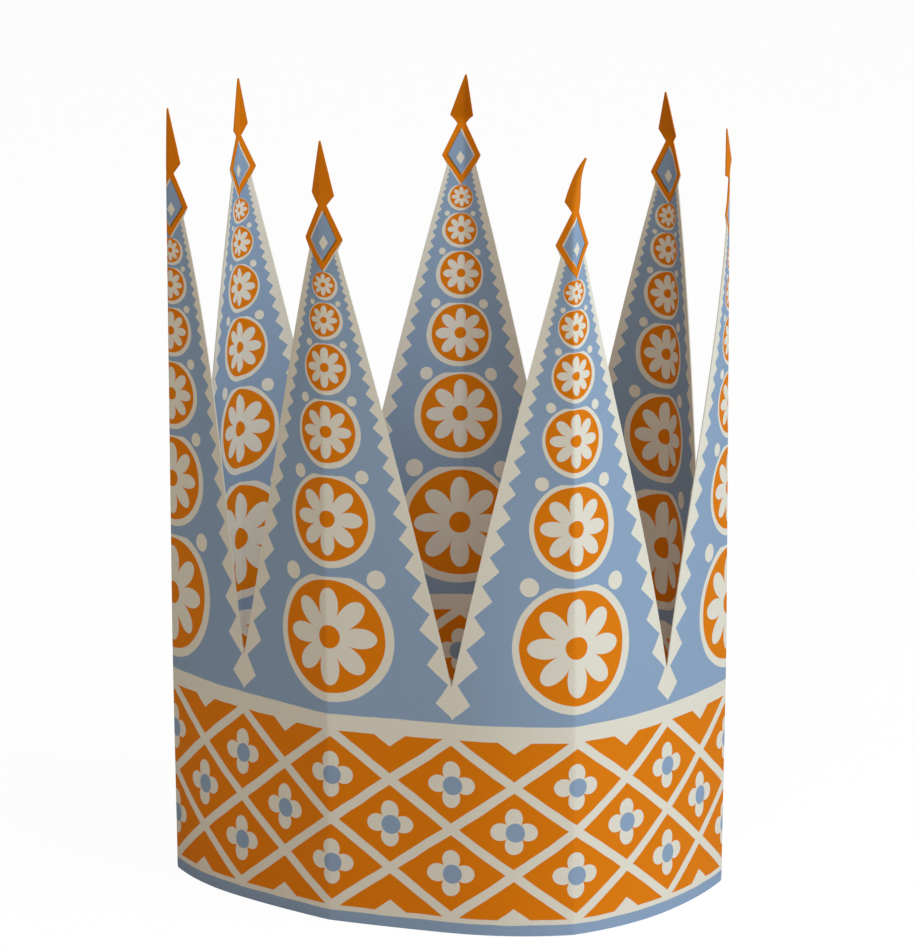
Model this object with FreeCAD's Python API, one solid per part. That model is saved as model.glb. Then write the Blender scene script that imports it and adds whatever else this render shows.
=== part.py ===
import FreeCAD, Part
import math
import os

from FreeCAD import Rotation, Vector

# A tall crown folded from one die-cut sheet of card and glued into a ring.
# It stands on its cut lower edge, z = 0 on the table. Seven spikes rise from the band, each
# folded along its middle and ending in a lozenge and a spear. Millimetres, +Z up, the front
# faces -Y, and the origin is on the table at the middle of the crown's box.

# The flat sheet
SPIKES = 7
FACE_WIDTH = 82.0
CARD = 0.35

# Lengths up a fold, each from the end of the one before
NOTCH_HEIGHT = 82.8
SPIKE_LENGTH = 142.7
LOZENGE_LOWER = 3.5
LOZENGE_UPPER = 11.0
SPEAR_LOWER = 3.8
SPEAR_BLADE = 18.2

# Half widths of the cut outline. The folds miss its middle: it lies a little to their right.
DIE_SHIFT = 1.0
SHOULDER_HALF = 5.2
LOZENGE_HALF = 7.0
NECK_HALF = 1.45
SPEAR_HALF = 4.1
TIP_HALF = 0.25
SPIKE_BULGE = 1.0
NOTCH_ROUND = 0.8

# The ring is out of round, less so at the top: a little oval and a little three-lobed, each
# furthest out in one direction from the front round to the right. Its front looks slightly left.
OVAL_FOOT = 6.6
OVAL_TOP = 4.6
OVAL_DIRECTION = 51.0
LOBES_FOOT = 2.8
LOBES_TOP = 2.3
LOBES_DIRECTION = 23.0
FRONT_TURN = -3.55

# Half the angle of each fold in degrees: nearly flat at the lower edge, sharper in the spikes.
# The spikes are listed from the front left one round to the right.
FOOT_FOLD = 7.5
NOTCH_FOLDS = [14.0, 14.0, 13.0, 21.0, 7.0, 22.0, 18.0]
SPIKE_FOLDS = [9.0, 40.0, 7.0, 20.0, 16.0, 20.0, 30.0]

# How far each finial has turned about its fold in use, anticlockwise seen from above
SPIKE_TURNS = [0.0, -2.0, 10.0, 10.0, 0.0, 0.0, 22.0]

# How each spear has been bent in use, in degrees: at its neck, towards the ring's middle and
# to the right seen from outside, then curled to the right along its blade. The last angle is
# its turn about its fold, anticlockwise seen from above.
SPEAR_BENDS = [
    (-10.0, 7.0, 0.0, 0.0),
    (-30.0, -6.0, 23.0, 13.0),
    (2.0, -33.0, 0.0, -13.0),
    (29.0, -18.0, 0.0, 0.0),
    (33.0, -5.0, 0.0, 0.0),
    (13.0, 15.0, 0.0, 0.0),
    (-2.0, 5.0, 0.0, 0.0),
]
CURL_STEPS = 5

# The glue tab inside the ring, beside the seam in this face counted like the spikes
TAB_FACE = 4
TAB_WIDTH = 15.0
TAB_BELOW_NOTCH = 6.8
TAB_TAPER = 4.0

SHOULDER_HEIGHT = NOTCH_HEIGHT + SPIKE_LENGTH
LOZENGE_HEIGHT = SHOULDER_HEIGHT + LOZENGE_LOWER
NECK_HEIGHT = LOZENGE_HEIGHT + LOZENGE_UPPER
STEP = 2 * math.pi / SPIKES
UP = Vector(0, 0, 1)
AFTER = 1
BEFORE = -1


def outward(along):
    """The outward normal of a direction that runs anticlockwise round the ring."""
    return along.cross(UP).normalize()


def shortening(turn):
    """The chord of a half face as a share of its flat width, when it bends by this angle."""
    return math.sin(turn) / turn if abs(turn) > 1e-6 else 1.0


def fold_point(index, z, chord, oval, lobes):
    """Where a fold stands. The oval and the lobes leave all faces the same width."""
    radius = chord / (2 * math.sin(STEP / 2))
    angle = (index - 0.5) * STEP + math.radians(FRONT_TURN)
    reach = radius
    swing = angle
    for waves, height, direction in [(2, oval, OVAL_DIRECTION), (3, lobes, LOBES_DIRECTION)]:
        phase = waves * (angle - math.radians(direction))
        reach += height * math.cos(phase)
        ease = math.tan(STEP / 2) / math.tan(waves * STEP / 2)
        swing -= ease * height / radius * math.sin(phase)
    return Vector(reach * math.sin(swing), -reach * math.cos(swing), z)


class Level:
    """The ring at one height: its folds, their half angles and the bowed faces between."""

    def __init__(self, z, half_folds, turns, oval, lobes):
        self.count = len(half_folds)
        self.half_folds = [math.radians(angle) for angle in half_folds]
        self.turns = [math.radians(angle) for angle in turns]
        mean_turn = STEP / 2 - sum(self.half_folds) / self.count
        chord = FACE_WIDTH * shortening(mean_turn)
        self.folds = [fold_point(i, z, chord, oval, lobes) for i in range(self.count)]
        self.along = [(self.folds[self.after(i)] - self.folds[i]).normalize()
                      for i in range(self.count)]

    def after(self, i):
        return (i + 1) % self.count

    def fold_along(self, i):
        """The direction of the ring at a fold: midway between its faces, and turned."""
        midway = (self.along[i - 1] + self.along[i]).normalize()
        return Rotation(UP, math.degrees(self.turns[i])).multVec(midway)

    def lean(self, i, side):
        """The angle at fold i between a half face, the one after it or before it, and its chord."""
        corner = self.along[i - 1].getAngle(self.along[i])
        return corner / 2 - self.half_folds[i] - side * self.turns[i]

    def corner(self, i, depth):
        """A fold's corner, this deep in the card."""
        mitre = depth / math.cos(self.half_folds[i])
        return self.folds[i] - outward(self.fold_along(i)) * mitre

    def crown(self, i, depth):
        """The middle of face i, bowed outwards, this deep in the card."""
        after = self.after(i)
        chord_middle = (self.folds[i] + self.folds[after]) / 2
        rise = (math.sin(self.lean(i, AFTER) / 2) + math.sin(self.lean(after, BEFORE) / 2)) / 2
        return chord_middle + outward(self.along[i]) * (FACE_WIDTH / 2 * rise - depth)

    def half_face(self, i, side, depth):
        """The arc between fold i and the middle of the face after it or before it."""
        fold = self.corner(i, depth)
        middle = self.crown(i if side == AFTER else i - 1, depth)
        run = (middle - fold) * side
        at_fold = Rotation(UP, math.degrees(side * self.half_folds[i])).multVec(self.fold_along(i))
        swing = side * math.asin(at_fold.cross(run).z / run.Length)
        bow = outward(run) * (run.Length / 2 * math.tan(swing / 2))
        ends = [fold, middle][::side]
        return Part.Arc(ends[0], (fold + middle) / 2 + bow, ends[1]).toShape()

    def outline(self, depth):
        """The closed outline of the ring, this deep in the card."""
        edges = []
        for i in range(self.count):
            edges.append(self.half_face(i, AFTER, depth))
            edges.append(self.half_face(self.after(i), BEFORE, depth))
        return Part.Wire(edges)


def for_spikes(values):
    """One value for each spike, begun again where there are more spikes than values."""
    return [values[i % len(values)] for i in range(SPIKES)]


def ring_levels():
    """The ring at its foot, its notches, its shoulders and its necks."""
    upper = [for_spikes(SPIKE_FOLDS), for_spikes(SPIKE_TURNS), OVAL_TOP, LOBES_TOP]
    lower = [for_spikes([0.0]), OVAL_FOOT, LOBES_FOOT]
    return [
        Level(0.0, for_spikes([FOOT_FOLD]), *lower),
        Level(NOTCH_HEIGHT, for_spikes(NOTCH_FOLDS), *lower),
        Level(SHOULDER_HEIGHT, *upper),
        Level(NECK_HEIGHT, *upper),
    ]


def wall(levels, outer_depth, inner_depth):
    """A layer of card between two depths, lofted up through the levels."""
    outer = Part.makeLoft([level.outline(outer_depth) for level in levels], True, False)
    inner = Part.makeLoft([level.outline(inner_depth) for level in levels], True, False)
    return outer.cut(inner)


def spike_side(half_chord, lean, shift):
    """A side of a spike, from its neck down to its notch: across and height, seen square on."""
    squint = math.cos(lean)
    slope = (SHOULDER_HEIGHT - NOTCH_HEIGHT) / (half_chord - SHOULDER_HALF)
    shoulder = ((SHOULDER_HALF + shift) * squint, SHOULDER_HEIGHT)
    foot = (half_chord + shift - NOTCH_ROUND, NOTCH_HEIGHT + NOTCH_ROUND * slope)
    return [
        ((NECK_HALF + shift) * squint, NECK_HEIGHT + CARD),
        ((NECK_HALF + shift) * squint, NECK_HEIGHT),
        ((LOZENGE_HALF + shift) * squint, LOZENGE_HEIGHT),
        shoulder,
        ((foot[0] + shoulder[0]) / 2 + SPIKE_BULGE, (foot[1] + shoulder[1]) / 2),
        foot,
    ]


def notch(level, i):
    """What the die removes from face i: the V notch and the gaps beside the finials."""
    after = level.after(i)
    start = level.folds[i]
    chord = (level.folds[after] - start).Length
    normal = outward(level.along[i])
    clear = FACE_WIDTH / 4

    def point(across, z):
        return Vector(start.x, start.y, z) + level.along[i] * across - normal * clear

    def edges(points):
        """The finial's straight cuts, then the curved side of the spike."""
        cuts = [Part.makeLine(a, b) for a, b in zip(points[:3], points[1:4])]
        return cuts + [Part.Arc(*points[3:]).toShape()]

    near_side = spike_side(chord / 2, level.lean(i, AFTER), DIE_SHIFT)
    far_side = spike_side(chord / 2, level.lean(after, BEFORE), -DIE_SHIFT)
    near = [point(across, z) for across, z in near_side]
    far = [point(chord - across, z) for across, z in far_side]
    bottom = point(chord / 2 + DIE_SHIFT, NOTCH_HEIGHT)
    root = Part.Arc(near[-1], bottom, far[-1]).toShape()
    outline = edges(near) + [root] + edges(far)[::-1] + [Part.makeLine(far[0], near[0])]
    return Part.Face(Part.Wire(outline)).extrude(normal * (2 * clear))


def spear_sections(level, i):
    """Folded cross-sections of the spear on neck i, from the neck to the tip."""
    inward, sideways, curl, twist = SPEAR_BENDS[i % len(SPEAR_BENDS)]
    half_fold = level.half_folds[i]
    right = level.fold_along(i)
    stations = [(0.0, 0.0, 0.0, NECK_HALF)]
    for step in range(CURL_STEPS + 1):
        share = step / CURL_STEPS
        travel = SPEAR_BLADE / CURL_STEPS if step else SPEAR_LOWER
        stations.append((travel, 1.0, share, SPEAR_HALF + (TIP_HALF - SPEAR_HALF) * share))

    sections = []
    fold = level.folds[i]
    for travel, hinge, share, half in stations:
        turn = Rotation(right, -inward * hinge)
        turn = Rotation(outward(right), sideways * -hinge - curl * share ** 2).multiply(turn)
        heading = turn.multVec(UP)
        fold = fold + heading * travel
        turn = Rotation(heading, twist * hinge).multiply(turn)
        side = turn.multVec(right) * math.cos(half_fold)
        face = turn.multVec(outward(right))
        fall = face * math.sin(half_fold)
        inside = face * (CARD / math.cos(half_fold))
        shift = DIE_SHIFT * (1 - share)
        left = fold - (side + fall) * (half - shift)
        outer = [left, fold, fold + (side - fall) * (half + shift)]
        inner = [point - inside for point in reversed(outer)]
        sections.append(Part.makePolygon(outer + inner + outer[:1]))
    return sections


def spear(level, i):
    return Part.makeLoft(spear_sections(level, i), True, True)


def glue_tab(levels):
    """A second layer of card inside the ring, beside the seam."""
    face = TAB_FACE % SPIKES
    along = levels[0].along[face]
    reach = FACE_WIDTH / 8
    seam = levels[0].crown(face, -reach)
    top = NOTCH_HEIGHT - TAB_BELOW_NOTCH
    outline = [(0, 0), (TAB_WIDTH, TAB_TAPER), (TAB_WIDTH, top - TAB_TAPER), (0, top)]
    points = [seam + along * across + UP * z for across, z in outline]
    block = Part.Face(Part.makePolygon(points + points[:1])).extrude(outward(along) * -2 * reach)
    return wall(levels, CARD, 2 * CARD).common(block)


def crown_sheet():
    """The whole sheet, with its notches, spears and glue tab, centred over the origin."""
    levels = ring_levels()
    sheet = wall(levels, 0.0, CARD)
    for i in range(SPIKES):
        sheet = sheet.cut(notch(levels[-1], i))
    spears = [spear(levels[-1], i) for i in range(SPIKES)]
    sheet = sheet.fuse(spears + [glue_tab(levels)]).removeSplitter()
    middle = sheet.optimalBoundingBox(False).Center
    sheet.translate(Vector(-middle.x, -middle.y, 0))
    return sheet.Solids[0]


os.makedirs("parts", exist_ok=True)
sheet = crown_sheet()
box = sheet.optimalBoundingBox(False)
print("valid", sheet.isValid(), "volume", round(sheet.Volume, 1), "area", round(sheet.Area, 1))
print("box", round(box.XLength, 2), round(box.YLength, 2), round(box.ZLength, 2))
sheet.exportStep("parts/crown_sheet.step")
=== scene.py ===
import math
import bpy
from mathutils import Matrix, Vector


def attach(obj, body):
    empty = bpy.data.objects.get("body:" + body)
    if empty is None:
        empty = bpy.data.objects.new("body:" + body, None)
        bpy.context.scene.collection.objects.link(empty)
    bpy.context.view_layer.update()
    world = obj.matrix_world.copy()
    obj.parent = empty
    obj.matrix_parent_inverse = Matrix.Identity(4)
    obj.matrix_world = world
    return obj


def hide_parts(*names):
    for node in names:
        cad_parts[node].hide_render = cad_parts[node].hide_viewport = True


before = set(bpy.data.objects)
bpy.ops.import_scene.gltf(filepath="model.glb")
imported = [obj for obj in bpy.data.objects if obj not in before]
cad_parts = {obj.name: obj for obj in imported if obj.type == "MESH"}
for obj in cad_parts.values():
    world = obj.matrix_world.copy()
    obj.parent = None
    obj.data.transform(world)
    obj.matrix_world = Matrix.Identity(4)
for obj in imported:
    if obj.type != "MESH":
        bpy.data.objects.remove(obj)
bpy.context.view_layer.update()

# The blank
# One sheet of 300 gram card, 574 mm long, die-cut along its top edge into seven spikes.
# Both sides of a spike are alike, so one grid gives every half face its cells.
MM = 0.001
SPIKES = 7
HALF_FACE = 41.0
CARD = 0.35
NOTCH_HEIGHT = 82.8
SHOULDER_HEIGHT = 225.5
LOZENGE_HEIGHT = 229.0
NECK_HEIGHT = 240.0
SPEAR_WIDEST_HEIGHT = 243.8
TIP_HEIGHT = 262.0
DIE_SHIFT = 1.0
SHOULDER_HALF = 5.2
LOZENGE_HALF = 7.0
NECK_HALF = 1.45
SPIKE_BULGE = 1.0
DIE_LINE = [
    (0.0, HALF_FACE),
    (NOTCH_HEIGHT, HALF_FACE),
    (SHOULDER_HEIGHT, SHOULDER_HALF),
    (LOZENGE_HEIGHT, LOZENGE_HALF),
    (NECK_HEIGHT, NECK_HALF),
    (SPEAR_WIDEST_HEIGHT, 4.1),
    (TIP_HEIGHT, 0.25),
]
ROW_PITCHES = [2.6, 2.3, 0.9, 0.8, 0.5, 0.7]
COLUMN_SHARES = [0.0, 0.008, 0.02, 0.05, 0.1, 0.18, 0.27, 0.37, 0.48, 0.59, 0.7, 0.8, 0.9, 1.0]


def between(value, low, high):
    """How far the value has come from low to high, held within them."""
    return max(0.0, min(1.0, (value - low) / (high - low)))


def die_half_width(height):
    """Half the width that the die leaves at this height, from its middle to the cut edge."""
    for (low, low_half), (high, high_half) in zip(DIE_LINE, DIE_LINE[1:]):
        if height <= high:
            share = between(height, low, high)
            bulge = SPIKE_BULGE * 4 * share * (1 - share) if low == NOTCH_HEIGHT else 0.0
            return low_half + (high_half - low_half) * share + bulge
    return DIE_LINE[-1][1]


def off_fold(height):
    """How far the middle of the die's outline lies to the right of the fold."""
    return DIE_SHIFT * between(height, 0.0, NOTCH_HEIGHT) * (
        1.0 - between(height, SPEAR_WIDEST_HEIGHT, TIP_HEIGHT)
    )


row_heights = [0.0]
for (low, _), (high, _), pitch in zip(DIE_LINE, DIE_LINE[1:], ROW_PITCHES):
    steps = math.ceil((high - low) / pitch)
    row_heights += [low + (high - low) * step / steps for step in range(1, steps + 1)]

bpy.ops.object.select_all(action="DESELECT")
bpy.ops.mesh.primitive_grid_add(
    x_subdivisions=len(COLUMN_SHARES) - 1, y_subdivisions=len(row_heights) - 1, size=1.0
)
blank = bpy.context.active_object
blank_cells = [
    (
        round((v.co.x + 0.5) * (len(COLUMN_SHARES) - 1)),
        round((v.co.y + 0.5) * (len(row_heights) - 1)),
    )
    for v in blank.data.vertices
]

# The ring
# The folds of the blank are opened more towards the lower edge, where the band is nearly
# round. The ring is a little oval and a little three-lobed, each given by its height at the
# foot and at the top and by its direction, and some spikes have turned about their folds.
OVAL = (6.6, 4.6, math.radians(51.0))
LOBES = (2.8, 2.3, math.radians(23.0))
FRONT_TURN = math.radians(-3.55)
FOOT_FOLD = math.radians(7.5)
NOTCH_FOLDS = [math.radians(angle) for angle in (14.0, 14.0, 13.0, 21.0, 7.0, 22.0, 18.0)]
SPIKE_FOLDS = [math.radians(angle) for angle in (9.0, 40.0, 7.0, 20.0, 16.0, 20.0, 30.0)]
SPIKE_TURNS = [math.radians(angle) for angle in (0.0, -2.0, 10.0, 10.0, 0.0, 0.0, 22.0)]
FOLD_ROUND = 0.5
WALK_PIECE = 2.0
STEP = 2 * math.pi / SPIKES
UP = Vector((0, 0, 1))


def half_fold(fold, height):
    """Half the angle of a fold at this height."""
    notch = NOTCH_FOLDS[fold]
    low = FOOT_FOLD + (notch - FOOT_FOLD) * between(height, 0, NOTCH_HEIGHT)
    return low + (SPIKE_FOLDS[fold] - notch) * between(height, NOTCH_HEIGHT, SHOULDER_HEIGHT)


def fold_point(fold, height):
    """Where a fold stands. The oval and the lobes leave all faces the same width."""
    mean = sum(half_fold(i, height) for i in range(SPIKES)) / SPIKES
    bend = STEP / 2 - mean
    radius = HALF_FACE * math.sin(bend) / bend / math.sin(STEP / 2)
    angle = (fold - 0.5) * STEP + FRONT_TURN
    reach = radius
    swing = angle
    for waves, (foot, top, direction) in ((2, OVAL), (3, LOBES)):
        wave = foot + (top - foot) * between(height, NOTCH_HEIGHT, SHOULDER_HEIGHT)
        phase = waves * (angle - direction)
        reach += wave * math.cos(phase)
        ease = math.tan(STEP / 2) / math.tan(waves * STEP / 2)
        swing -= ease * wave / radius * math.sin(phase)
    return Vector((reach * math.sin(swing), -reach * math.cos(swing), height))


def outward(along):
    """The outward normal of a direction that runs anticlockwise round the ring."""
    return along.cross(UP).normalized()


def ring_frame(fold, height):
    """A fold's place and its direction round the ring, turned with its spike, and the angles
    from there to the middles of the faces before and after it."""
    here = fold_point(fold, height)
    before = here - fold_point((fold - 1) % SPIKES, height)
    after = fold_point((fold + 1) % SPIKES, height) - here
    turn = SPIKE_TURNS[fold] * between(height, NOTCH_HEIGHT, SHOULDER_HEIGHT)
    along = Matrix.Rotation(turn, 3, UP) @ (before.normalized() + after.normalized()).normalized()
    corner = before.angle(after) / 2
    return here, along, outward(along), {-1: corner + turn, 1: corner - turn}


def walk(frame_at, fold, height, side, stops):
    """Points on the outer face at these distances from a fold, along one half face."""
    here, along, out, corners = frame_at
    half = half_fold(fold, height)
    points = []
    travelled = 0.0
    across = 0.0
    fallen = 0.0
    for stop in stops:
        pieces = max(1, math.ceil((stop - travelled) / WALK_PIECE))
        for piece in range(pieces):
            length = (stop - travelled) / pieces
            middle = travelled + (piece + 0.5) * length
            bow = (corners[side] - half) * middle / HALF_FACE
            turn = half * math.tanh(middle / FOLD_ROUND) + bow
            across += length * math.cos(turn)
            fallen += length * math.sin(turn)
        travelled = stop
        points.append(here + along * (side * across) - out * fallen)
    return points


def half_face_row(fold, side, height, stops):
    """A row of one half face, drawn over to meet the next half face in the middle."""
    reach = HALF_FACE + side * off_fold(height)
    frame_at = ring_frame(fold, height)
    points = walk(frame_at, fold, height, side, stops)
    end = walk(frame_at, fold, height, side, [reach * share for share in COLUMN_SHARES])[-1]
    other = (fold + side) % SPIKES
    other_stops = [(2 * HALF_FACE - reach) * share for share in COLUMN_SHARES]
    far_end = walk(ring_frame(other, height), other, height, -side, other_stops)[-1]
    gap = (far_end - end) / 2
    return [point + gap * (stop / reach) ** 2 for point, stop in zip(points, stops)]


# The spears
# Each spike ends in a thin neck and a spear. Use has bent the necks and curled one blade,
# so every spear has its own angles, in degrees: at the neck towards the middle of the ring
# and to the right seen from outside, then curled to the right, and turned about its fold.
SPEAR_BENDS = [
    (-10.0, 7.0, 0.0, 0.0),
    (-30.0, -6.0, 23.0, 13.0),
    (2.0, -33.0, 0.0, -13.0),
    (29.0, -18.0, 0.0, 0.0),
    (33.0, -5.0, 0.0, 0.0),
    (13.0, 15.0, 0.0, 0.0),
    (-2.0, 5.0, 0.0, 0.0),
]


def spear_frames(fold, heights):
    """The fold's place and directions at each height above the neck."""
    inward, sideways, curl, twist = (math.radians(angle) for angle in SPEAR_BENDS[fold])
    here, along, out, corners = ring_frame(fold, NECK_HEIGHT)
    frames = {}
    below = NECK_HEIGHT
    for height in heights:
        hinge = between(height, NECK_HEIGHT, SPEAR_WIDEST_HEIGHT)
        share = between(height, SPEAR_WIDEST_HEIGHT, TIP_HEIGHT)
        turn = Matrix.Rotation(-inward * hinge, 3, along)
        turn = Matrix.Rotation(-sideways * hinge - curl * share ** 2, 3, out) @ turn
        heading = turn @ UP
        here = here + heading * (height - below)
        below = height
        turn = Matrix.Rotation(twist * hinge, 3, heading) @ turn
        frames[height] = (here, turn @ along, turn @ out, corners)
    return frames


# The glued seam
# The blank's two ends meet in the middle of a back face, over a plain tab on the inside.
SEAM_FOLD = 4
SEAM_GAP = 0.15
TAB_WIDTH = 15.0
TAB_TOP = 76.0
TAB_TAPER = 4.0
MERGE = 0.02
SMOOTH_BELOW = math.radians(50)
FLAT = "flat_sheet"


def add_flat_layer(mesh, flat_points):
    """Gives each corner its place on the flat sheet, in metres, for the print to follow."""
    layer = mesh.uv_layers.new(name=FLAT)
    for loop in mesh.loops:
        layer.data[loop.index].uv = flat_points[loop.vertex_index]


sheet_parts = []
for fold in range(SPIKES):
    spear_rows = spear_frames(fold, [h for h in row_heights if h > NECK_HEIGHT])
    for side in (-1, 1):
        at_seam = (fold, side) in ((SEAM_FOLD, 1), ((SEAM_FOLD + 1) % SPIKES, -1))
        rows = []
        flat_rows = []
        for height in row_heights:
            half = die_half_width(height) + side * off_fold(height)
            half -= SEAM_GAP if at_seam and height <= NOTCH_HEIGHT else 0
            stops = [half * share for share in COLUMN_SHARES]
            if height in spear_rows:
                rows.append(walk(spear_rows[height], fold, height, side, stops))
            else:
                rows.append(half_face_row(fold, side, height, stops))
            middle = fold * 2 * HALF_FACE
            flat_rows.append([((middle + side * s) * MM, height * MM) for s in stops])
        mesh = blank.data.copy()
        for vertex, (column, row) in zip(mesh.vertices, blank_cells):
            vertex.co = rows[row][column] * MM
        add_flat_layer(mesh, [flat_rows[row][column] for column, row in blank_cells])
        part = bpy.data.objects.new(f"half_face_{fold}_{side}", mesh)
        bpy.context.collection.objects.link(part)
        sheet_parts.append(part)
bpy.data.objects.remove(blank)

bpy.ops.object.select_all(action="DESELECT")
for part in sheet_parts:
    part.select_set(True)
bpy.context.view_layer.objects.active = sheet_parts[0]
bpy.ops.object.join()
sheet = bpy.context.active_object
sheet.name = "printed_sheet"
sheet.data.name = "printed_sheet"
bpy.ops.object.mode_set(mode="EDIT")
bpy.ops.mesh.select_all(action="SELECT")
bpy.ops.mesh.remove_doubles(threshold=MERGE * MM)
bpy.ops.mesh.normals_make_consistent(inside=False)
bpy.ops.object.mode_set(mode="OBJECT")

# The crown stands with the middle of its box over the origin, as the frame does
low = Vector([min(v.co[axis] for v in sheet.data.vertices) for axis in range(3)])
high = Vector([max(v.co[axis] for v in sheet.data.vertices) for axis in range(3)])
ring_shift = Vector((-(low.x + high.x) / 2, -(low.y + high.y) / 2, 0.0))
sheet.data.transform(Matrix.Translation(ring_shift))

bpy.context.view_layer.objects.active = sheet
thickness = sheet.modifiers.new("card", "SOLIDIFY")
thickness.thickness = CARD * MM
thickness.offset = -1.0
thickness.use_rim = True
thickness.material_offset_rim = 1
bpy.ops.object.modifier_apply(modifier="card")
bpy.ops.object.shade_smooth_by_angle(angle=SMOOTH_BELOW)

# The glue tab
# A plain strip at one end of the blank, glued flat behind the other end. It shows only from
# inside, as a second layer of card with tapered ends.
TAB_GAP = 0.06
TAB_ROWS = 24
TAB_COLUMNS = 6
tab_fold = (SEAM_FOLD + 1) % SPIKES
bpy.ops.object.select_all(action="DESELECT")
bpy.ops.mesh.primitive_grid_add(x_subdivisions=TAB_COLUMNS, y_subdivisions=TAB_ROWS, size=1.0)
tab = bpy.context.active_object
tab.name = "glue_tab"
for vertex in tab.data.vertices:
    share = vertex.co.x + 0.5
    taper = TAB_TAPER * share
    height = taper + (TAB_TOP - 2 * taper) * (vertex.co.y + 0.5)
    across = HALF_FACE - off_fold(height) - TAB_WIDTH * share
    here, near = half_face_row(tab_fold, -1, height, [across, across - 1.0])
    inside = outward((near - here).normalized()) * -(CARD + TAB_GAP)
    vertex.co = (here + inside) * MM + ring_shift
add_flat_layer(tab.data, [(0.0, 0.0)] * len(tab.data.vertices))
thickness = tab.modifiers.new("card", "SOLIDIFY")
thickness.thickness = CARD * MM
thickness.offset = -1.0
bpy.ops.object.modifier_apply(modifier="card")
bpy.ops.object.mode_set(mode="EDIT")
bpy.ops.mesh.select_all(action="SELECT")
bpy.ops.mesh.normals_make_consistent(inside=False)
bpy.ops.object.mode_set(mode="OBJECT")
bpy.ops.object.shade_smooth_by_angle(angle=SMOOTH_BELOW)


# The shader maths
# Print is drawn as shapes on the flat sheet: each shape is a distance in millimetres,
# above zero inside it, and inks are laid where a distance is above zero.
class Number:
    """A number that varies over a surface. Arithmetic on it adds Math nodes."""

    def __init__(self, tree, socket):
        self.tree = tree
        self.socket = socket

    def math(self, operation, *others):
        node = self.tree.nodes.new("ShaderNodeMath")
        node.operation = operation
        for place, value in enumerate((self, *others)):
            if isinstance(value, Number):
                self.tree.links.new(value.socket, node.inputs[place])
            else:
                node.inputs[place].default_value = value
        return Number(self.tree, node.outputs[0])

    def __add__(self, other):
        return self.math("ADD", other)

    __radd__ = __add__

    def __sub__(self, other):
        return self.math("SUBTRACT", other)

    def __rsub__(self, other):
        return (self * -1.0) + other

    def __mul__(self, other):
        return self.math("MULTIPLY", other)

    __rmul__ = __mul__

    def __truediv__(self, other):
        return self.math("DIVIDE", other)

    def __neg__(self):
        return self * -1.0

    def __abs__(self):
        return self.math("ABSOLUTE")

    def power(self, exponent):
        return self.math("POWER", exponent)

    def lesser(self, other):
        return self.math("MINIMUM", other)

    def greater(self, other):
        return self.math("MAXIMUM", other)

    def fraction(self):
        return self.math("FRACT")

    def held(self):
        """The number held between 0 and 1."""
        return self.greater(0.0).lesser(1.0)


def length(x, y):
    return (x * x + y * y).math("SQRT")


class Finish:
    """A material made of nodes, with its Principled shader."""

    def __init__(self, name, roughness):
        self.material = bpy.data.materials.new(name)
        self.material.use_nodes = True
        self.tree = self.material.node_tree
        self.shader = self.tree.nodes["Principled BSDF"]
        self.shader.inputs["Roughness"].default_value = roughness
        self.shader.inputs["Specular IOR Level"].default_value = 0.12

    def node(self, kind, settings=None, inputs=None):
        """Adds a node: its settings first, then values or links for its sockets."""
        node = self.tree.nodes.new(kind)
        for name, value in (settings or {}).items():
            setattr(node, name, value)
        for name, value in (inputs or {}).items():
            self.feed(node.inputs[name], value)
        return node

    def feed(self, socket, value):
        if isinstance(value, Number):
            value = value.socket
        if isinstance(value, bpy.types.NodeSocket):
            self.tree.links.new(value, socket)
        else:
            socket.default_value = value

    def number(self, socket):
        return Number(self.tree, socket)

    def mix(self, factor, first, second, blend="MIX"):
        """A colour between two colours, or the first blended with the second."""
        node = self.node("ShaderNodeMix", {"data_type": "RGBA", "blend_type": blend})
        self.feed(node.inputs[0], factor)
        self.feed(node.inputs[6], first)
        self.feed(node.inputs[7], second)
        return node.outputs[2]

    def noise(self, where, scale, detail=2.0, roughness=0.5):
        """Noise of a scale in cycles for each metre, at a place in metres."""
        node = self.node(
            "ShaderNodeTexNoise",
            {"noise_dimensions": "3D"},
            {"Vector": where, "Scale": scale, "Detail": detail, "Roughness": roughness},
        )
        return self.number(node.outputs[0])


def srgb(red, green, blue):
    """A colour given as it looks on a screen, from 0 to 255, as the shader needs it."""
    parts = [channel / 255 for channel in (red, green, blue)]
    return (*[p / 12.92 if p <= 0.04045 else ((p + 0.055) / 1.055) ** 2.4 for p in parts], 1.0)


# The card
# Uncoated cream card. It shows bare on the cut edges and on the tab, and between the inks.
CREAM = srgb(238, 233, 219)
CUT_CREAM = srgb(228, 221, 204)
FIBRE_SCALE = 900.0
card = Finish("cream_card", 0.85)
fibre_place = card.node("ShaderNodeTexCoord").outputs["Object"]
card_tone = card.noise(fibre_place, FIBRE_SCALE, 4.0, 0.6)
card.feed(
    card.shader.inputs["Base Color"],
    card.mix((card_tone * 1.4 - 0.2).held(), CUT_CREAM, CREAM),
)

# The print
# Two inks, orange and grey blue, printed on both faces in register and a little out of
# register with each other. The border of each spike follows the die line, its roundels
# grow downwards with the spike, and a flowered trellis runs round the band.
ORANGE = srgb(252, 143, 0)
BLUE = srgb(159, 189, 236)
PRINT_SHIFT = 1.0
BLUE_SHIFT = (0.4, -0.3)
INK_EDGE = 0.16
FOOT_STRIP = 4.0
FOOT_LINE = 5.4
BAND_TOP = 65.2
STRIPE_TOP = 71.0
TRELLIS_WIDTH = 2 * HALF_FACE / 2
TRELLIS_ROWS = 2
TRELLIS_LINE = 3.1
FLOWER_REACH = 7.8
FLOWER_WAIST = 0.42
BAND_DOT = 3.2
BAND_TOOTH = 0.13
TIERS = 6
FINIAL_FOOT = 218.5
FINIAL_FRAME = 2.0
INSET_HALF = 1.5
INSET_SLOPE = 0.62
INSET_BELOW = 0.8
BORDER = 1.8
BORDER_BULGE = 0.6
SAW_TEETH = 4.0

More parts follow.
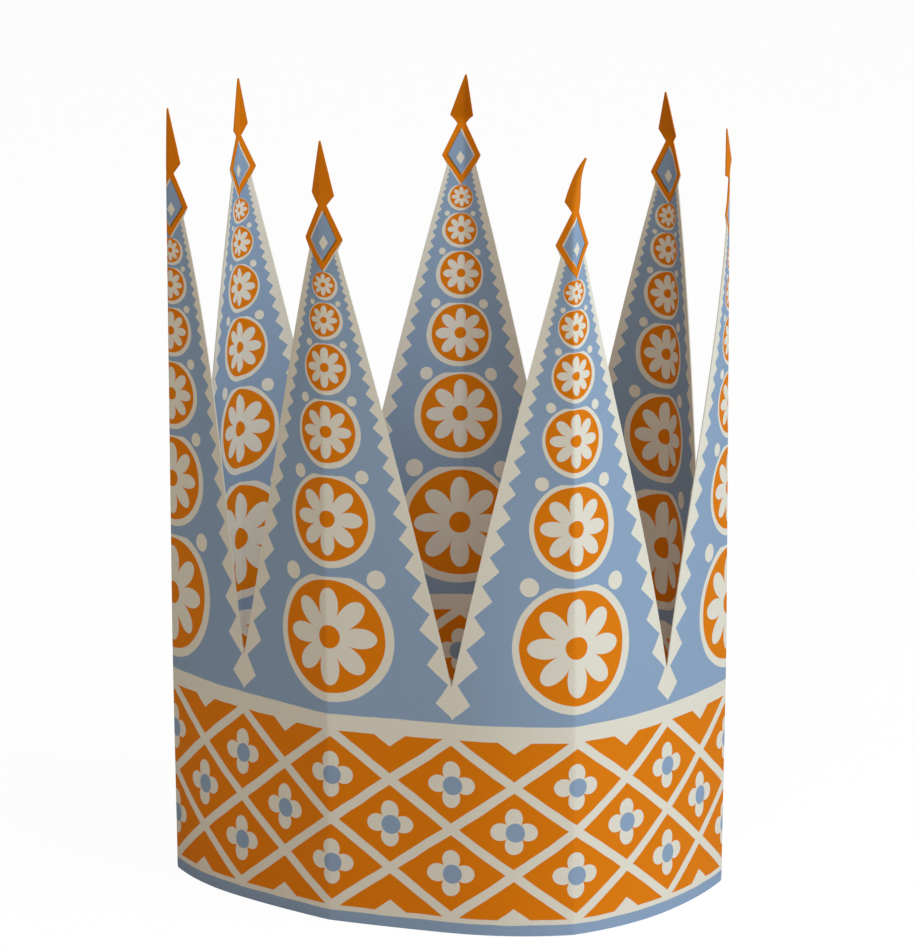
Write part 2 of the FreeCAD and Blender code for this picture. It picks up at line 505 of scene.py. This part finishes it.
# These are shares of the height from there to the spike's apex
SAW_DEPTH = 0.034
ROUNDEL = 0.128
ROUNDEL_RIM = 0.018
BEAD = 0.024
BEAD_ACROSS = 0.124

# And these are shares of a roundel or of a tier
PETAL_WAIST = 0.36
PETAL_REACH = 0.5
EYE = 0.2
ROUNDEL_RISE = 0.52

SPIKE_SLOPE = (HALF_FACE - SHOULDER_HALF) / (SHOULDER_HEIGHT - NOTCH_HEIGHT)
SPIKE_APEX = SHOULDER_HEIGHT + SHOULDER_HALF / SPIKE_SLOPE
TIER_RATIO = ((SPIKE_APEX - STRIPE_TOP) / (SPIKE_APEX - FINIAL_FOOT)) ** (1 / TIERS)

# The edges of the inks waver a little, as if cut by hand
HAND_CUT = 0.9
HAND_SCALE = 70.0

printed = Finish("printed_card", 0.7)
flat = printed.node("ShaderNodeUVMap", {"uv_map": FLAT}).outputs[0]
flat_parts = printed.node("ShaderNodeSeparateXYZ", None, {"Vector": flat}).outputs
sheet_x = printed.number(flat_parts[0]) / MM
sheet_z = printed.number(flat_parts[1]) / MM
elsewhere = {"Vector": flat, "Location": (5.0, 3.0, 0.0)}
hand = printed.noise(flat, HAND_SCALE)
other_hand = printed.noise(
    printed.node("ShaderNodeMapping", None, elsewhere).outputs[0], HAND_SCALE
)


def across_fold(x):
    """The distance from the nearest fold, below zero to its left."""
    turns = (x / (2 * HALF_FACE) + 0.5).fraction()
    return (turns - 0.5) * (2 * HALF_FACE)


def band_shapes(x, z):
    """The trellis of the band, its flowers and its dots."""
    row_height = (BAND_TOP - FOOT_LINE) / TRELLIS_ROWS
    slant = TRELLIS_WIDTH * row_height / math.hypot(TRELLIS_WIDTH, row_height)
    in_x = (x / TRELLIS_WIDTH + 0.5).fraction() - 0.5
    in_z = ((z - FOOT_LINE) / row_height).fraction() - 0.5
    diamond = 0.5 - (abs(in_x) + abs(in_z))
    lines = TRELLIS_LINE / 2 - abs(diamond) * slant
    to_middle = length(in_x * TRELLIS_WIDTH, in_z * row_height)
    to_corner = length((0.5 - abs(in_x)) * TRELLIS_WIDTH, (0.5 - abs(in_z)) * row_height)
    off_centre = abs(z - (FOOT_LINE + BAND_TOP) / 2)
    central = off_centre.math("LESS_THAN", row_height / 2)
    centre = to_middle.lesser(to_corner + (1.0 - central) * BAND_TOP)
    tooth = (BAND_TOOTH - 1.0 + abs(in_x) + abs(in_z)) * slant - central * BAND_TOP
    inside = (z - FOOT_LINE).lesser(BAND_TOP - z)
    inner = diamond.math("GREATER_THAN", 0.0)
    petal_x = in_x * TRELLIS_WIDTH * inner + (0.5 - abs(in_x)) * TRELLIS_WIDTH * (1.0 - inner)
    petal_z = in_z * row_height * inner + (0.5 - abs(in_z)) * row_height * (1.0 - inner)
    lobe = abs((petal_z.math("ARCTAN2", petal_x) * 2.0).math("COSINE"))
    flower = (FLOWER_WAIST + (1.0 - FLOWER_WAIST) * lobe.power(0.8)) * FLOWER_REACH - centre
    return inside, lines.greater(tooth), flower, BAND_DOT - centre


def drop_at(tiers):
    """How far below the spike's apex this many tiers up from the stripe is."""
    return (SPIKE_APEX - STRIPE_TOP) * (tiers * -math.log(TIER_RATIO)).math("EXPONENT")


def spike_shapes(x, z):
    """What stands on a spike's ground: its toothed border, its roundels and its beads."""
    below_apex = (SPIKE_APEX - z).greater(1.0)
    edge = below_apex * SPIKE_SLOPE + BORDER_BULGE - abs(x)
    tiers = (below_apex / (SPIKE_APEX - STRIPE_TOP)).math("LOGARITHM", TIER_RATIO) * -1.0
    teeth = 1.0 - abs((tiers * SAW_TEETH).fraction() * 2.0 - 1.0)
    border = BORDER + below_apex * SAW_DEPTH * teeth - edge
    tier = tiers.math("FLOOR")
    middle = drop_at(tier + ROUNDEL_RISE)
    across = x / middle
    up = (middle - below_apex) / middle
    reach = length(across, up)
    beyond = tier.math("GREATER_THAN", TIERS - 0.5) * SPIKE_APEX
    disc = (ROUNDEL - reach) * middle - beyond
    rim = (ROUNDEL + ROUNDEL_RIM - reach) * middle - beyond
    lobe = abs((up.math("ARCTAN2", across) * 4.0).math("COSINE"))
    rosette = ((PETAL_WAIST + PETAL_REACH * lobe.power(0.7)) * ROUNDEL - reach) * middle
    eye = (EYE * ROUNDEL - reach) * middle
    joint = (tiers + 0.5).math("FLOOR")
    boundary = drop_at(joint)
    bead_reach = length(abs(x) / boundary - BEAD_ACROSS, (boundary - below_apex) / boundary)
    end = joint.math("LESS_THAN", 0.5) + joint.math("GREATER_THAN", TIERS - 0.5)
    bead = (BEAD - bead_reach) * boundary - end * SPIKE_APEX
    return border, disc, rim, rosette, eye, bead


def finial_shapes(x, z):
    """The orange finial with its inset lozenge and the small lozenge in that."""
    run = LOZENGE_HALF
    rise = LOZENGE_HEIGHT - FINIAL_FOOT
    lower = ((z - FINIAL_FOOT) * run - abs(x) * rise) / math.hypot(run, rise)
    upper_run = LOZENGE_HALF - NECK_HALF
    upper_rise = NECK_HEIGHT - LOZENGE_HEIGHT
    upper = ((NECK_HEIGHT - z) * upper_run - (abs(x) - NECK_HALF) * upper_rise) / math.hypot(
        upper_run, upper_rise
    )
    inset = lower.lesser(upper) - FINIAL_FRAME
    small = INSET_HALF - abs(x) - abs(z - LOZENGE_HEIGHT + INSET_BELOW) * INSET_SLOPE
    return lower, inset, small


def ink(distance):
    """How much ink lies here: none outside a shape, all inside it."""
    return (distance / INK_EDGE + 0.5).held()


def orange_ink(x, z):
    """The band's ground, the roundels and the finials."""
    inside, lines, flower, dot = band_shapes(x, z)
    band = inside.lesser(-lines).lesser(-flower)
    border, disc, rim, rosette, eye, bead = spike_shapes(x, z)
    lower, inset, small = finial_shapes(x, z)
    roundels = disc.lesser((-rosette).greater(eye)).lesser(z - STRIPE_TOP).lesser(-lower)
    finial = lower.lesser(-inset)
    return ink(band.greater(roundels).greater(finial))


def blue_ink(x, z):
    """The spikes' ground, the flowers' middles, the strip at the foot and the lozenges."""
    inside, lines, flower, dot = band_shapes(x, z)
    border, disc, rim, rosette, eye, bead = spike_shapes(x, z)
    lower, inset, small = finial_shapes(x, z)
    ground = (z - STRIPE_TOP).lesser(-border).lesser(-rim).lesser(-bead).lesser(-lower)
    strip = FOOT_STRIP - z
    return ink(ground.greater(dot.lesser(inside)).greater(strip).greater(inset.lesser(-small)))


print_x = across_fold(sheet_x - PRINT_SHIFT) + (hand - 0.5) * HAND_CUT
print_z = sheet_z + (other_hand - 0.5) * HAND_CUT
orange = orange_ink(print_x, print_z)
blue = blue_ink(print_x - BLUE_SHIFT[0], print_z - BLUE_SHIFT[1])

mottle = printed.noise(flat, 1400.0, 3.0, 0.6)
cloud = printed.noise(flat, 45.0, 3.0, 0.55)
coverage = (1.08 + (mottle - 0.5) * 0.2 + (cloud - 0.5) * 0.08).held()
tone = printed.mix((mottle * 1.4 - 0.2).held(), srgb(230, 224, 208), CREAM)
for layer, colour in ((orange, ORANGE), (blue, BLUE)):
    inked_over = printed.mix(1.0, tone, colour, "MULTIPLY")
    tone = printed.mix(layer * coverage, tone, inked_over)
printed.feed(printed.shader.inputs["Base Color"], tone)
inked = orange.greater(blue)
printed.feed(printed.shader.inputs["Roughness"], 0.82 - inked * 0.12 + (mottle - 0.5) * 0.1)
fibres = printed.noise(printed.node("ShaderNodeTexCoord").outputs["Object"], 1800.0, 4.0, 0.6)
printed.feed(
    printed.shader.inputs["Normal"],
    printed.node(
        "ShaderNodeBump", None, {"Strength": 0.12, "Distance": 0.0002, "Height": fibres}
    ).outputs[0],
)

sheet.data.materials.clear()
sheet.data.materials.append(printed.material)
sheet.data.materials.append(card.material)
tab.data.materials.append(card.material)
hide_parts("crown_sheet")
for piece in (sheet, tab):
    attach(piece, "root")

# The studio
# A pale floor that fades into a white ground, with a large cool light from the right, a
# weaker warm one from the front and a warm, dim sky.
bpy.ops.object.select_all(action="DESELECT")
bpy.ops.mesh.primitive_plane_add(size=6.0, location=(0, 0, 0))
floor = bpy.context.active_object
floor.name = "floor"
ground = Finish("floor_paper", 0.9)
ground.shader.inputs["Base Color"].default_value = (0.8, 0.8, 0.8, 1.0)
seen_directly = ground.number(ground.node("ShaderNodeLightPath").outputs["Is Camera Ray"])
glow = ground.node("ShaderNodeEmission", None, {"Strength": 1.06}).outputs[0]
ground.feed(
    ground.tree.nodes["Material Output"].inputs["Surface"],
    ground.node(
        "ShaderNodeMixShader", None, {0: seen_directly * 0.9, 1: ground.shader.outputs[0], 2: glow}
    ).outputs[0],
)
floor.data.materials.append(ground.material)

WARM = (1.0, 0.9, 0.78)
COOL = (0.79, 0.91, 1.0)
world = bpy.data.worlds.new("studio")
bpy.context.scene.world = world
world.use_nodes = True
sky = world.node_tree
sky_light = sky.nodes["Background"]
sky_light.inputs["Color"].default_value = (*WARM, 1.0)
sky_light.inputs["Strength"].default_value = 0.3
seen = sky.nodes.new("ShaderNodeBackground")
seen.inputs["Color"].default_value = (1.0, 1.0, 1.0, 1.0)
choice = sky.nodes.new("ShaderNodeMixShader")
camera_ray = sky.nodes.new("ShaderNodeLightPath")
sky.links.new(camera_ray.outputs["Is Camera Ray"], choice.inputs[0])
sky.links.new(sky_light.outputs[0], choice.inputs[1])
sky.links.new(seen.outputs[0], choice.inputs[2])
sky.links.new(choice.outputs[0], sky.nodes["World Output"].inputs[0])


def soft_light(name, place, size, power, colour):
    """A square lamp that faces the middle of the crown."""
    towards = Vector((0, 0, 0.12)) - Vector(place)
    lamp = bpy.data.lights.new(name, "AREA")
    lamp.size = size
    lamp.energy = power
    lamp.color = colour
    holder = bpy.data.objects.new(name, lamp)
    holder.location = place
    holder.rotation_euler = towards.to_track_quat("-Z", "Y").to_euler()
    bpy.context.collection.objects.link(holder)


soft_light("window", (1.5, -0.85, 0.9), 1.2, 21.8, COOL)
soft_light("fill", (-0.45, -1.5, 1.5), 1.4, 7.2, WARM)

# The camera
# A long lens from about two metres away, a little above the crown.
CAMERA_DISTANCE = 1.9101
CAMERA_HEIGHT = math.radians(12.458)
CAMERA_TURN = math.radians(0.005)
LENS = 213.86
aim = Vector((1.7, 0.0, 134.23)) * MM + ring_shift
back = Vector((
    -math.sin(CAMERA_TURN) * math.cos(CAMERA_HEIGHT),
    -math.cos(CAMERA_TURN) * math.cos(CAMERA_HEIGHT),
    math.sin(CAMERA_HEIGHT),
))
view = bpy.data.cameras.new("camera")
view.lens = LENS
view.sensor_width = 36.0
view.clip_end = 20.0
camera = bpy.data.objects.new("camera", view)
camera.location = aim + back * CAMERA_DISTANCE
camera.rotation_euler = back.to_track_quat("Z", "Y").to_euler()
bpy.context.collection.objects.link(camera)
bpy.context.scene.camera = camera
bpy.context.scene.view_settings.view_transform = "Standard"
